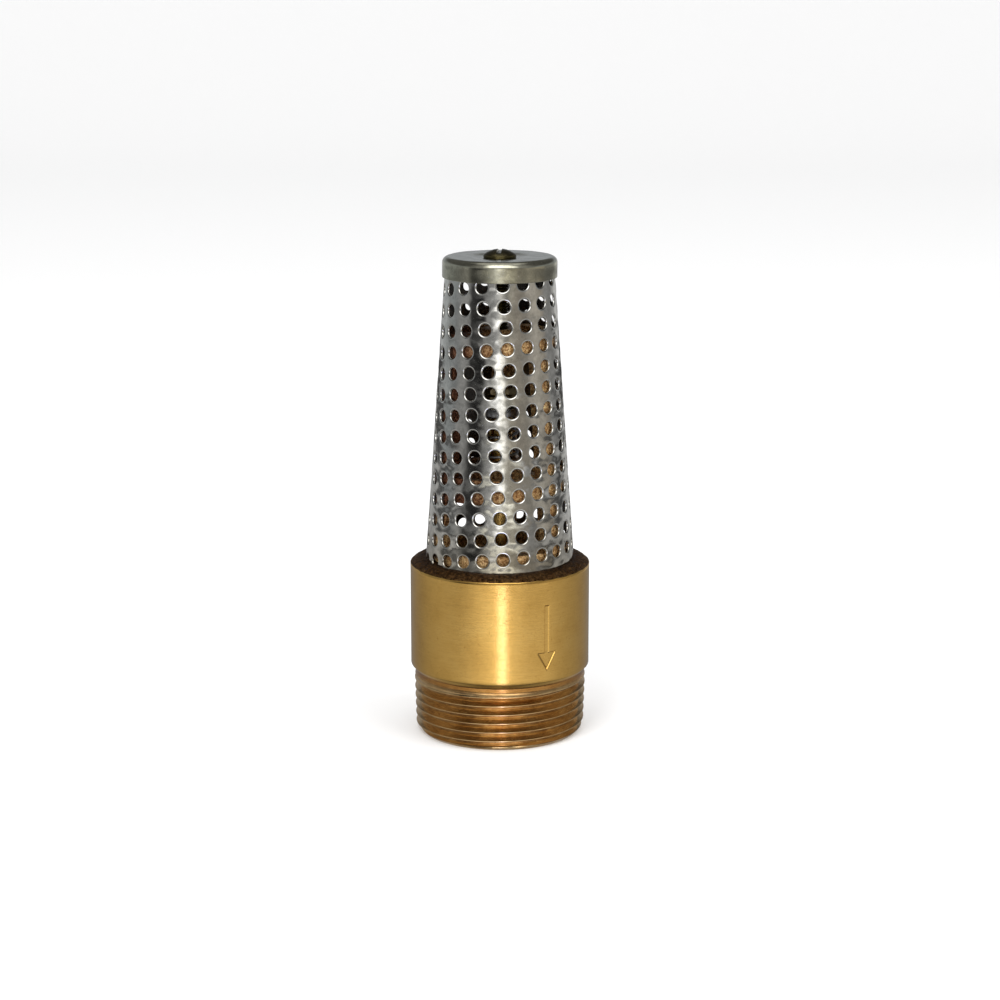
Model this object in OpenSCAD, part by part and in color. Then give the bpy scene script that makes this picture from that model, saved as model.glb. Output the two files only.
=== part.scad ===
// Foot valve with a male pipe thread, standing on its thread end, in millimetres.
// The origin is the centre of the thread's end face, and +Z runs up to the strainer's cap.
// Azimuths are in degrees, 0 at the front (-Y) and positive towards +X.

/* [Outlet thread] */
// Crest diameter at the end face
thread_end_d = 41.3; // [41:0.1:41.5]
// Distance between crests, 11.5 turns an inch
thread_pitch = 2.209; // [2.1:0.001:2.3]
// Crest to root depth
thread_depth = 1.75; // [1.2:0.05:1.8]
// Length over which the diameter grows by 1
thread_taper = 16; // [14:1:24]
// Height at the front where the helix starts, below the end face
thread_start = -4.15; // [-4.3:0.05:-3.5]
// Height of the threaded band
thread_len = 14.8; // [13:0.1:15.2]
// Chamfer on the end face
thread_chamfer = 1.5; // [1:0.1:1.8]

/* [Body] */
// Diameter of the machined land, where a wrench grips
land_d = 43.84; // [43.6:0.02:45]
// Height of the land's lower edge
land_bottom = 17; // [16.8:0.1:18.4]
// Chamfer under the land
land_chamfer = 1.15; // [0.9:0.05:1.25]
// Height of the land's upper edge
land_top = 42.3; // [42:0.1:42.8]
// Height of the flat that the strainer stands on
shoulder_top = 43.6; // [43.4:0.1:44]
// Bore at the outlet
outlet_d = 32.4; // [31:0.1:33]
// Cored chamber around the poppet
chamber_d = 36.4; // [35:0.1:37]
// Bore of the seat
seat_d = 22; // [20:0.5:22]
// Width of the raised seat lip
seat_lip = 1.4; // [1:0.1:1.6]
// Bore in the body's mouth for the cage's spigot
mouth_d = 30.7; // [30:0.1:31.2]
// Azimuth of the cut flow arrow
arrow_az = 31; // [-60:1:60]
// Depth of the cut flow arrow
arrow_depth = 0.35; // [0.2:0.05:0.6]

/* [Strainer] */
// Outer diameter at the lower edge
screen_base_d = 36.22; // [36:0.02:36.4]
// Lean of the cone's wall from the vertical
screen_angle = 4.03; // [3.9:0.01:4.1]
// Height of the upper edge
screen_top = 116.5; // [115:0.1:116.5]
// Sheet thickness
screen_t = 0.5; // [0.3:0.1:0.6]
// Punched hole diameter
hole_d = 2.9; // [2.6:0.1:3.4]
// Spacing of the square hole grid on the flat sheet
hole_pitch = 5; // [4.6:0.1:6]
// Distance of the lowest row from the lower edge, on the sheet's middle line
hole_edge = 3.9; // [3:0.1:5]
// Sideways shift of the grid from the sheet's middle line
hole_shift = 0.8; // [0:0.1:2.4]
// Azimuth of the rolled sheet's lap seam
seam_az = -116; // [-130:1:-100]
// Width of the lap
seam_lap = 5; // [4:0.5:6]

/* [Cap and screw] */
// Cap's outer diameter
cap_d = 27.64; // [27.6:0.02:28]
// Height of the skirt's lower edge
cap_bottom = 112.3; // [112:0.1:113]
// Height of the flat top
cap_top = 117.3; // [117.3:0.1:118]
// Cap's sheet thickness
cap_t = 0.5; // [0.4:0.05:0.5]
// Radius of the drawn edge
cap_edge_r = 1.5; // [1:0.1:1.6]
// Screw head diameter
head_d = 7.9; // [7:0.1:9]
// How far the screw pulls the middle of the cap down
cap_dish = 0.35; // [0.2:0.05:0.4]
// Height of the domed screw head
head_h = 2.05; // [1.8:0.05:2.3]
// Screw shank diameter
screw_d = 4; // [3.5:0.1:4.5]

/* [Cage] */
// Azimuth of the first rib
rib_az = 55; // [40:1:70]
// Rib width
rib_w = 6; // [4:0.5:7]
// Rib and ring thickness, inwards
rib_t = 3.2; // [2.6:0.1:3.6]
// Gap between the cage and the strainer's inner face
cage_gap = 0.4; // [0.3:0.05:0.6]
// Height of the foot ring's top
foot_top = 47.5; // [46.5:0.1:48.5]
// Lower guide ring, bottom edge
guide_bottom = 59.5; // [58:0.5:61]
// Lower guide ring, top edge
guide_top = 65.5; // [64:0.5:67]
// Upper ring, bottom edge
crown_bottom = 94.3; // [93.5:0.1:95]
// Upper ring, top edge
crown_top = 99.3; // [98.5:0.1:100]

/* [Poppet] */
// Stem diameter
stem_d = 6; // [5.5:0.1:6]
// Stem's running gap in its bush, on the radius
stem_gap = 0.05; // [0.02:0.01:0.08]
// Rubber seal diameter
seal_d = 25.8; // [25:0.1:26]
// Rubber seal thickness
seal_t = 3; // [2:0.5:3]
// Diameter of the disc that carries the seal
disc_d = 27.6; // [27.2:0.1:28.6]
// Diameter of the stem's threaded ends
stud_d = 4.9; // [4.5:0.1:5]

/* [Spring] */
// Wire diameter
wire_d = 0.8; // [0.7:0.1:0.8]
// Mean coil diameter
coil_d = 8.4; // [8:0.1:8.8]
// Open turns between the closed ends
open_turns = 4; // [3:0.5:4]
// Length with the valve closed
spring_len = 12; // [12:0.5:13]

/* [Hidden] */
$fn = 96;

// The thread's outline over one pitch: share of the pitch, share of the depth
thread_outline = [[0, 0], [0.08, 0], [0.5, 1], [0.58, 1]];
thread_sides = 48;
thread_turns = ceil((thread_len - thread_start) / thread_pitch) + 1;
thread_rows = thread_turns * len(thread_outline);

// The body's outside and its cored passage
land_r = land_d / 2;
relief_r = land_r - land_chamfer;
shoulder_flat_r = screen_base_d / 2 + 0.3;
outlet_top = 16.6;
chamber_bottom = 19;
web_bottom = 34.6;
web_top = 38;
mouth_bottom = 39.6;
seat_face = 33.13;
seat_r = seat_d / 2;
mouth_r = mouth_d / 2;
arrow_tip = 20;
arrow_tail = 36;
arrow_shaft_w = 1.3;
arrow_head_w = 5.2;
arrow_head_h = 4.4;

// The strainer's cone, and its flat sheet as a sector about the cone's apex
screen_slope = tan(screen_angle);
screen_apex = shoulder_top + screen_base_d / 2 / screen_slope;
sheet_reach = (screen_apex - shoulder_top) / cos(screen_angle);
sheet_top_reach = (screen_apex - screen_top) / cos(screen_angle);
sheet_mid_az = seam_az + 180;
row_count = ceil((sheet_reach - sheet_top_reach) / hole_pitch) + 1;
half_columns = ceil(PI * screen_base_d / 2 / hole_pitch);
seam_margin = seam_lap / 2 + hole_d / 2 + 0.4;
lap_top = cap_bottom - 0.4;

// The cage's hubs
foot_r = mouth_r + 1.5;
foot_bore_r = 12.6;
hub_r = 6;
hub_bottom = guide_bottom - 1;
hub_top = guide_top + 1.5;
guide_spoke_w = 4.5;
crown_hub_r = 4.4;
crown_spoke_w = 4;
crown_hub_bottom = crown_bottom - 0.8;
crown_hub_top = crown_top + 0.7;
screw_end = crown_hub_bottom - 1.2;
// The dish in the middle of the cap, and the flat under the screw head
dish_z = cap_top - cap_dish;
dish_r = head_d / 2 + 4;
dish_flat_r = head_d / 2 + 0.3;

// The bush in the lower hub
bush_r = 4.1;
bush_flange_r = 5.4;
bush_flange_t = 1;

// The spring and its retainer on the stem's upper stud
closed_turns = 0.75;
wire_sides = 8;
steps_per_turn = 20;
spring_bottom = hub_top + bush_flange_t;
spring_top = spring_bottom + spring_len;
retainer_r = 5.8;
retainer_t = 1;
retainer_lip = 0.9;
retainer_wall = 0.6;
nut_across = 8;
nut_t = 3;
jam_nut_t = 2;
stem_top = spring_top + retainer_t + nut_t + jam_nut_t + 1;

// The poppet, stacked down from the seal's face under a collar on the stem
seal_top = seat_face - 0.03;
seal_bottom = seal_top - seal_t;
seal_retainer_r = 8.6;
seal_retainer_t = 1.2;
collar_r = 4.6;
collar_t = 2;
collar_bottom = seal_top + seal_retainer_t;
disc_t = 3.4;
disc_bottom = seal_bottom - disc_t;
disc_rim_h = 1.9;
disc_hub_r = 7;
washer_r = 4.6;
washer_t = 1;
poppet_nut_across = 10;
poppet_nut_t = 4.2;
poppet_nut_bottom = disc_bottom - washer_t - poppet_nut_t;
stem_bottom = poppet_nut_bottom - 1.9;

// Radius of the strainer's outer face at height z
function screen_r(z) = (screen_apex - z) * screen_slope;

// Radius of the cage's outer face at height z
function cage_r(z) = screen_r(z) - (screen_t + cage_gap) / cos(screen_angle);

// Crest radius of the tapered thread at height z
function crest_r(z) = thread_end_d / 2 + z / thread_taper / 2;

// Across-corners diameter of a hexagon, from its size across flats
function corners(across) = across / cos(30);

// A ring between two heights
module ring(outer_r, inner_r, z0, z1) {
    rotate_extrude()
        polygon([[inner_r, z0], [outer_r, z0], [outer_r, z1], [inner_r, z1]]);
}

// A solid of revolution that follows the cage's outer cone between two heights
module cage_cone(z0, z1, inset) {
    rotate_extrude()
        polygon([[0, z0], [cage_r(z0) - inset, z0], [cage_r(z1) - inset, z1], [0, z1]]);
}

// A hexagon nut on a stud
module nut(across, height, z0) {
    translate([0, 0, z0])
        difference() {
            intersection() {
                cylinder(d = corners(across), h = height, $fn = 6);
                translate([0, 0, height / 2 - across])
                    cylinder(r1 = across * 1.5 + 0.12, r2 = across / 2 - height / 2 + 0.12,
                             h = across + height / 2);
            }
            translate([0, 0, -1])
                cylinder(d = stud_d, h = height + 2);
        }
}

// The tapered right-hand thread, longer than the band it is cut to. Column i is the
// outline at one azimuth. A full turn later the outline is the same, one pitch higher.
module thread_skin() {
    n = thread_rows;
    m = len(thread_outline);
    function place(i, j) =
        let (az = 360 * i / thread_sides,
             p = thread_outline[j % m],
             z = thread_start + (floor(j / m) + p[0] + az / 360) * thread_pitch,
             r = crest_r(z) - p[1] * thread_depth)
        [r * sin(az), -r * cos(az), z];
    function id(i, j) =
        i < thread_sides ? i * n + j : j < n - m ? j + m : thread_sides * n + j - (n - m);
    turn = [for (i = [0 : thread_sides - 1], j = [0 : n - 1]) place(i, j)];
    run_out = [for (j = [n - m : n - 1]) place(thread_sides, j)];
    low = len(turn) + m;
    high = low + 1;
    centres = [[0, 0, thread_start], [0, 0, thread_start + thread_turns * thread_pitch]];
    wall = [for (i = [0 : thread_sides - 1], j = [0 : n - 2])
        each [[id(i, j), id(i, j + 1), id(i + 1, j + 1)],
              [id(i, j), id(i + 1, j + 1), id(i + 1, j)]]];
    low_fan = [for (i = [0 : thread_sides - 1]) [low, id(i, 0), id(i + 1, 0)]];
    low_step = [for (j = [0 : m - 1]) [low, j + 1, j]];
    high_fan = [for (i = [0 : thread_sides - 1]) [high, id(i + 1, n - 1), id(i, n - 1)]];
    high_step = [for (j = [n - 1 - m : n - 2])
        [high, id(thread_sides, j), id(thread_sides, j + 1)]];
    polyhedron(concat(turn, run_out, centres),
               concat(wall, low_fan, low_step, high_fan, high_step));
}

// The band that the thread is cut to, chamfered at the end face and clear of the crests.
// At its top it slopes in to end inside the relief under the land.
module thread_band() {
    clear = 1;
    run_out = 0.1;
    rotate_extrude()
        polygon([[0, 0],
                 [crest_r(0) - thread_chamfer, 0],
                 [crest_r(0) + clear, thread_chamfer + clear],
                 [crest_r(0) + clear, thread_len - clear],
                 [relief_r - run_out, thread_len],
                 [0, thread_len]]);
}

// The water passage, from the outlet up to the mouth that takes the cage
module passage() {
    rotate_extrude()
        polygon([[0, -1], [outlet_d / 2, -1], [outlet_d / 2, outlet_top],
                 [chamber_d / 2, chamber_bottom], [chamber_d / 2, web_bottom - 1],
                 [chamber_d / 2 - 1, web_bottom],
                 [seat_r + seat_lip + 0.4, web_bottom], [seat_r + seat_lip, seat_face],
                 [seat_r, seat_face], [seat_r, web_top],
                 [foot_bore_r, mouth_bottom], [mouth_r, mouth_bottom],
                 [mouth_r, shoulder_top + 1], [0, shoulder_top + 1]]);
}

// Plain arrow in the direction of flow, cut into the land
module flow_arrow() {
    intersection() {
        rotate([0, 0, arrow_az])
            rotate([90, 0, 0])
                linear_extrude(land_d)
                    polygon([[0, arrow_tip],
                             [arrow_head_w / 2, arrow_tip + arrow_head_h],
                             [arrow_shaft_w / 2, arrow_tip + arrow_head_h],
                             [arrow_shaft_w / 2, arrow_tail],
                             [-arrow_shaft_w / 2, arrow_tail],
                             [-arrow_shaft_w / 2, arrow_tip + arrow_head_h],
                             [-arrow_head_w / 2, arrow_tip + arrow_head_h]]);
        ring(land_r + 1, land_r - arrow_depth, arrow_tip - 1, arrow_tail + 1);
    }
}

module valve_body() {
    color("goldenrod")
        difference() {
            union() {
                intersection() {
                    thread_skin();
                    thread_band();
                }
                rotate_extrude()
                    polygon([[0, thread_len], [relief_r, thread_len],
                             [relief_r, land_bottom - land_chamfer],
                             [land_r, land_bottom], [land_r, land_top],
                             [shoulder_flat_r, shoulder_top], [0, shoulder_top]]);
            }
            passage();
            flow_arrow();
        }
}

// Outer ribs and rings of the cage, which hug the strainer
module cage_frame() {
    difference() {
        intersection() {
            union() {
                ring(land_r, 1, guide_bottom, guide_top);
                ring(land_r, 1, crown_bottom, crown_top);
                for (k = [0 : 2])
                    rotate([0, 0, rib_az + 120 * k])
                        translate([-rib_w / 2, -land_r, foot_top - 1])
                            cube([rib_w, land_r, crown_top - foot_top + 1]);
            }
            cage_cone(foot_top - 1, crown_top, 0);
        }
        cage_cone(foot_top - 2, crown_top + 1, rib_t);
    }
}

// Three spokes from the axis out to a ring
module spokes(width, z0, z1) {
    for (k = [0 : 2])
        rotate([0, 0, rib_az + 120 * k])
            translate([-width / 2, 1 - cage_r(z1), z0])
                cube([width, cage_r(z1) - 1, z1 - z0]);
}

module guide_cage() {
    color("darkgoldenrod")
        difference() {
            union() {
                ring(mouth_r, foot_bore_r, mouth_bottom, shoulder_top);
                ring(foot_r, foot_bore_r, shoulder_top, foot_top);
                cage_frame();
                spokes(guide_spoke_w, guide_bottom, guide_top);
                spokes(crown_spoke_w, crown_bottom, crown_top);
                translate([0, 0, hub_bottom])
                    cylinder(r = hub_r, h = hub_top - hub_bottom);
                translate([0, 0, crown_hub_bottom])
                    cylinder(r = crown_hub_r, h = crown_hub_top - crown_hub_bottom);
            }
            translate([0, 0, hub_bottom - 1])
                cylinder(r = bush_r, h = hub_top - hub_bottom + 2);
            translate([0, 0, crown_hub_bottom - 1])
                cylinder(d = screw_d, h = crown_hub_top - crown_hub_bottom + 2);
        }
}

module stem_bush() {
    color("peru")
        difference() {
            union() {
                translate([0, 0, hub_bottom])
                    cylinder(r = bush_r, h = hub_top - hub_bottom);
                translate([0, 0, hub_top])
                    cylinder(r = bush_flange_r, h = bush_flange_t);
            }
            translate([0, 0, hub_bottom - 1])
                cylinder(r = stem_d / 2 + stem_gap, h = hub_top - hub_bottom + 3);
        }
}

module poppet_stem() {
    stud_end = 0.5;
    color("gold")
        rotate_extrude()
            polygon([[0, stem_bottom], [stud_d / 2 - stud_end, stem_bottom],
                     [stud_d / 2, stem_bottom + stud_end], [stud_d / 2, collar_bottom],
                     [collar_r, collar_bottom], [collar_r, collar_bottom + collar_t],
                     [stem_d / 2, collar_bottom + collar_t + 1],
                     [stem_d / 2, spring_top], [stud_d / 2, spring_top],
                     [stud_d / 2, stem_top - stud_end], [stud_d / 2 - stud_end, stem_top],
                     [0, stem_top]]);
}

module seal_retainer() {
    color("khaki")
        ring(seal_retainer_r, stud_d / 2, seal_top, collar_bottom);
}

module poppet_seal() {
    color("dimgray")
        ring(seal_d / 2, stud_d / 2, seal_bottom, seal_top);
}

module poppet_disc() {
    color("goldenrod")
        rotate_extrude()
            polygon([[stud_d / 2, disc_bottom], [disc_hub_r, disc_bottom],
                     [disc_d / 2, disc_bottom + 1.4],
                     [disc_d / 2, seal_bottom + disc_rim_h],
                     [seal_d / 2, seal_bottom + disc_rim_h],
                     [seal_d / 2, seal_bottom], [stud_d / 2, seal_bottom]]);
}

module poppet_washer() {
    color("silver")
        ring(washer_r, stud_d / 2, disc_bottom - washer_t, disc_bottom);
}

module poppet_nut() {
    color("khaki")
        nut(poppet_nut_across, poppet_nut_t, poppet_nut_bottom);
}

// Height of the wire's middle after a number of turns
function coil_z(turns) =
    let (open_pitch = (spring_len - wire_d * (1 + 2 * closed_turns)) / open_turns,
         last = closed_turns + open_turns,
         z0 = spring_bottom + wire_d / 2)
    turns < closed_turns ? z0 + wire_d * turns
    : turns < last ? z0 + wire_d * closed_turns + open_pitch * (turns - closed_turns)
    : z0 + wire_d * (turns - open_turns) + open_pitch * open_turns;

module closing_spring() {
    turns = open_turns + 2 * closed_turns;
    steps = ceil(turns * steps_per_turn);
    n = wire_sides;
    // Rings of the wire's skin, each in the radial plane of its place on the coil
    rings = [for (i = [0 : steps], k = [0 : n - 1])
        let (at = turns * i / steps,
             r = coil_d / 2 + wire_d / 2 * cos(360 * k / n),
             z = coil_z(at) + wire_d / 2 * sin(360 * k / n))
        [r * cos(360 * at), r * sin(360 * at), z]];
    sides = [for (i = [0 : steps - 1], k = [0 : n - 1])
        let (a = i * n + k,
             b = i * n + (k + 1) % n)
        each [[a, b, b + n], [a, b + n, a + n]]];
    start = [for (k = [n - 1 : -1 : 0]) k];
    end = [for (k = [0 : n - 1]) steps * n + k];
    color("lightsteelblue")
        polyhedron(rings, concat(sides, [start, end]));
}

module spring_retainer() {
    color("lightgray")
        rotate_extrude()
            polygon([[stud_d / 2, spring_top], [retainer_r - retainer_wall, spring_top],
                     [retainer_r - retainer_wall, spring_top - retainer_lip],
                     [retainer_r, spring_top - retainer_lip],
                     [retainer_r, spring_top + retainer_t],
                     [stud_d / 2, spring_top + retainer_t]]);
}

module retainer_nut() {
    color("khaki")
        nut(nut_across, nut_t, spring_top + retainer_t);
}

module jam_nut() {
    color("gold")
        nut(nut_across, jam_nut_t, spring_top + retainer_t + nut_t);
}

// Punches at every place of the flat sheet's square grid, rolled with the sheet
module hole_punches() {
    for (row = [0 : row_count], column = [-half_columns : half_columns]) {
        across = hole_shift + column * hole_pitch;
        along = sheet_reach - hole_edge - row * hole_pitch;
        reach = norm([across, along]);
        turned = atan2(across, along) / sin(screen_angle);
        z = screen_apex - reach * cos(screen_angle);
        from_seam = screen_r(z) * (180 - abs(turned)) * PI / 180;
        if (reach > sheet_top_reach - hole_d / 2 && reach < sheet_reach + hole_d / 2 &&
            abs(turned) < 180 && from_seam > seam_margin)
            rotate([0, 0, sheet_mid_az + turned])
                translate([0, -screen_r(z), z])
                    rotate([90 - screen_angle, 0, 0])
                        cylinder(d = hole_d, h = 4 * screen_t, center = true);
    }
}

// The rolled sheet, whose edges overlap in a lap below the cap
module strainer_screen() {
    t = screen_t / cos(screen_angle);
    color("silver")
        difference() {
            union() {
                rotate_extrude()
                    polygon([[screen_r(shoulder_top) - t, shoulder_top],
                             [screen_r(shoulder_top), shoulder_top],
                             [screen_r(screen_top), screen_top],
                             [screen_r(screen_top) - t, screen_top]]);
                intersection() {
                    rotate_extrude()
                        polygon([[screen_r(shoulder_top) - t / 2, shoulder_top],
                                 [screen_r(shoulder_top) + t, shoulder_top],
                                 [screen_r(lap_top) + t, lap_top],
                                 [screen_r(lap_top) - t / 2, lap_top]]);
                    rotate([0, 0, seam_az])
                        translate([-seam_lap / 2, -land_r, shoulder_top])
                            cube([seam_lap, land_r, lap_top - shoulder_top]);
                }
            }
            hole_punches();
        }
}

module strainer_cap() {
    edge = cap_edge_r;
    bore_r = screw_d / 2 + 0.15;
    function bend(r) = [for (a = [0 : 9 : 90])
        [cap_d / 2 - edge + r * cos(a), cap_top - edge + r * sin(a)]];
    function inner_bend(r) = [for (a = [90 : -9 : 0])
        [cap_d / 2 - edge + r * cos(a), cap_top - edge + r * sin(a)]];
    color("gray")
        rotate_extrude()
            polygon(concat([[cap_d / 2, cap_bottom]], bend(edge),
                           [[dish_r, cap_top], [dish_flat_r, dish_z],
                            [bore_r, dish_z], [bore_r, dish_z - cap_t],
                            [dish_flat_r, dish_z - cap_t], [dish_r, cap_top - cap_t]],
                           inner_bend(edge - cap_t), [[cap_d / 2 - cap_t, cap_bottom]]));
}

module cap_screw() {
    rim_h = 0.7;
    dome_r = (pow(head_d / 2, 2) + pow(head_h - rim_h, 2)) / 2 / (head_h - rim_h);
    slot_w = 1.1;
    slot_depth = 0.9;
    color("darkgoldenrod")
        union() {
            difference() {
                intersection() {
                    translate([0, 0, dish_z])
                        cylinder(d = head_d, h = head_h);
                    translate([0, 0, dish_z + head_h - dome_r])
                        sphere(r = dome_r);
                }
                rotate([0, 0, -6])
                    translate([-slot_w / 2, -head_d, dish_z + head_h - slot_depth])
                        cube([slot_w, 2 * head_d, 2 * slot_depth]);
            }
            translate([0, 0, screw_end])
                cylinder(d = screw_d, h = dish_z - screw_end);
        }
}

valve_body();
guide_cage();
stem_bush();
poppet_stem();
seal_retainer();
poppet_seal();
poppet_disc();
poppet_washer();
poppet_nut();
closing_spring();
spring_retainer();
retainer_nut();
jam_nut();
strainer_screen();
strainer_cap();
cap_screw();
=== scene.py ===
import math

import bmesh
import bpy
import numpy as np
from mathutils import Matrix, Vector, noise
from mathutils.geometry import delaunay_2d_cdt


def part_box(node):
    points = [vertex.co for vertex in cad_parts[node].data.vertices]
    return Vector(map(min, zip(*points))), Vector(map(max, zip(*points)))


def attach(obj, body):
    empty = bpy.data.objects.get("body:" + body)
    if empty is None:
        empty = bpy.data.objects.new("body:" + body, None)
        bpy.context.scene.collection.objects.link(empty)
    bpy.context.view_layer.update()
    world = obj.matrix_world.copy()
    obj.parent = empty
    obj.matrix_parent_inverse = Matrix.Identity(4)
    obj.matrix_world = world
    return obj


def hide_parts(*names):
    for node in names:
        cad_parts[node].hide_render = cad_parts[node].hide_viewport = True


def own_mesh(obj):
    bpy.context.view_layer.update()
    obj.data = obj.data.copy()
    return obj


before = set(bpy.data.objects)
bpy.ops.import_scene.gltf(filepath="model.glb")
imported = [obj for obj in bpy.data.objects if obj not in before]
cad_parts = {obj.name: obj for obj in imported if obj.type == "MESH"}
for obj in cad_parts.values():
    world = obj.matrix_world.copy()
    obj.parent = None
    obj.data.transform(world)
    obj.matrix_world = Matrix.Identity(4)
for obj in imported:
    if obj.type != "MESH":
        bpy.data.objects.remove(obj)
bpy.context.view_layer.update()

MM = 0.001
TAU = 2 * math.pi

# Pipe thread and land, in millimetres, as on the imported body
THREAD_PITCH = 2.209
THREAD_DEPTH = 1.75
THREAD_TAPER = 16
THREAD_START = -4.15
THREAD_END_R = 20.65
THREAD_CHAMFER = 1.5
GROOVE_FADE = (12.5, 14.3)
CREST_FALL = (13.9, 14.8)
CREST_TOP_R = 21.04
LAND_BOTTOM = 17.0
LAND_CHAMFER = 1.15
LAND_TOP = 42.3
OUTLET_R = 16.2
OUTLET_TOP = 16.6
CHAMBER_R = 18.2
CHAMBER_BOTTOM = 19
SEAT_R = 11.0
SEAT_LIP = 1.4
SEAT_FACE = 33.13
WEB_BOTTOM = 34.6
WEB_TOP = 38.0
MOUTH_BOTTOM = 39.6
FOOT_BORE_R = 12.6
HUB_BORE_R = 4.6
MOUTH_R = 15.35

# Flow arrow on the land
ARROW_AZ = 31
ARROW_TIP = 20.0
ARROW_TAIL = 36.0
ARROW_HEAD_H = 4.4
ARROW_HEAD_W = 5.2
ARROW_SHAFT_W = 1.3
ARROW_DEPTH = 0.3

# Strainer sheet
SCREEN_ANGLE = math.radians(4.03)
SCREEN_T = 0.5
CAP_T = 0.5
CAP_EDGE = 1.5
CAP_DISH = 0.35
DISC_HUB_R = 7.0
HOLE_R = 1.45
HOLE_PITCH = 5.0
HOLE_EDGE = 3.9
HOLE_SHIFT = 0.8
SEAM_AZ = -116
SEAM_LAP = 5.0
LAP_TOP = 111.9


def size(node):
    """Lowest and highest corners of a CAD node in millimetres."""
    low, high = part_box(node)
    return low / MM, high / MM


LAND_R = size("valve_body")[1].x
SHOULDER_TOP = size("valve_body")[1].z
RELIEF_R = LAND_R - LAND_CHAMFER
RELIEF_TOP = LAND_BOTTOM - LAND_CHAMFER - 0.15
SCREEN_BASE_R = 18.11
SCREEN_TOP = size("strainer_screen")[1].z


# ---------------------------------------------------------------- materials

def new_material(name, colour, metallic, roughness):
    """A material with its Principled node, and the node tree's helpers."""
    material = bpy.data.materials.new(name)
    material.use_nodes = True
    tree = material.node_tree
    shader = tree.nodes["Principled BSDF"]
    shader.inputs["Base Color"].default_value = (*colour, 1)
    shader.inputs["Metallic"].default_value = metallic
    shader.inputs["Roughness"].default_value = roughness
    return material, tree, shader


def coordinates(tree, scale=(1, 1, 1)):
    """Object coordinates in millimetres, stretched by scale."""
    coord = tree.nodes.new("ShaderNodeTexCoord")
    mapping = tree.nodes.new("ShaderNodeMapping")
    mapping.inputs["Scale"].default_value = [s / MM for s in scale]
    tree.links.new(coord.outputs["Object"], mapping.inputs["Vector"])
    return mapping.outputs["Vector"]


def noise_at(tree, vector, scale, detail=4.0, roughness=0.55):
    """Value of a noise texture whose scale counts grains a millimetre."""
    node = tree.nodes.new("ShaderNodeTexNoise")
    node.inputs["Scale"].default_value = scale
    node.inputs["Detail"].default_value = detail
    node.inputs["Roughness"].default_value = roughness
    tree.links.new(vector, node.inputs["Vector"])
    return node.outputs["Fac"]


def ramp(tree, value, stops):
    """Colour ramp through (place, colour) stops; a colour is a grey number or three."""
    node = tree.nodes.new("ShaderNodeValToRGB")
    points = node.color_ramp.elements
    while len(points) < len(stops):
        points.new(0.5)
    for point, (place, colour) in zip(points, stops):
        point.position = place
        grey = (colour,) * 3 if isinstance(colour, (int, float)) else colour
        point.color = (*grey, 1)
    tree.links.new(value, node.inputs["Fac"])
    return node.outputs["Color"]


def mix(tree, factor, a, b, kind="MIX"):
    """Mix of two colours; each may be a socket or a fixed colour."""
    node = tree.nodes.new("ShaderNodeMix")
    node.data_type = "RGBA"
    node.blend_type = kind
    for socket, value in ((node.inputs["Factor"], factor), (node.inputs["A"], a),
                          (node.inputs["B"], b)):
        if isinstance(value, bpy.types.NodeSocket):
            tree.links.new(value, socket)
        elif isinstance(value, (int, float)):
            socket.default_value = value
        else:
            socket.default_value = (*value, 1)
    return node.outputs["Result"]


def maths(tree, operation, a, b=0.0, clamp=False):
    """Result of a math node; each operand may be a socket or a number."""
    node = tree.nodes.new("ShaderNodeMath")
    node.operation = operation
    node.use_clamp = clamp
    for socket, value in zip(node.inputs, (a, b)):
        if isinstance(value, bpy.types.NodeSocket):
            tree.links.new(value, socket)
        else:
            socket.default_value = value
    return node.outputs["Value"]


def bump(tree, shader, height, strength, distance):
    """Adds a bump over whatever bump the shader already has."""
    node = tree.nodes.new("ShaderNodeBump")
    node.inputs["Strength"].default_value = strength
    node.inputs["Distance"].default_value = distance * MM
    tree.links.new(height, node.inputs["Height"])
    before = shader.inputs["Normal"].links
    if before:
        tree.links.new(before[0].from_socket, node.inputs["Normal"])
    tree.links.new(node.outputs["Normal"], shader.inputs["Normal"])


def brass_machined(name):
    """Turned brass: feed lines round the axis, faint stains and handling marks."""
    material, tree, shader = new_material(name, (0.80, 0.47, 0.118), 1.0, 0.2)
    plain = coordinates(tree)
    rings = coordinates(tree, (0.02, 0.02, 1))
    lines = noise_at(tree, rings, 9.0, 3.0)
    fine = noise_at(tree, rings, 30.0, 2.0)
    stains = noise_at(tree, plain, 0.13, 5.0, 0.6)
    specks = noise_at(tree, plain, 1.9, 3.0, 0.6)
    base = ramp(tree, stains, [(0.3, (0.72, 0.425, 0.108)), (0.5, (0.80, 0.485, 0.13)),
                               (0.72, (0.83, 0.52, 0.15))])
    dark = ramp(tree, specks, [(0.27, (0.66, 0.52, 0.36)), (0.4, (1, 1, 1))])
    base = mix(tree, 0.5, base, dark, "MULTIPLY")
    streaks = ramp(tree, lines, [(0.3, (0.86, 0.83, 0.78)), (0.6, (1, 1, 1))])
    base = mix(tree, 0.6, base, streaks, "MULTIPLY")
    tree.links.new(base, shader.inputs["Base Color"])
    rough = ramp(tree, stains, [(0.3, 0.16), (0.7, 0.1)])
    tree.links.new(rough, shader.inputs["Roughness"])
    bump(tree, shader, fine, 0.3, 0.02)
    bump(tree, shader, lines, 0.3, 0.03)
    bump(tree, shader, specks, 0.06, 0.03)
    return material


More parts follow.
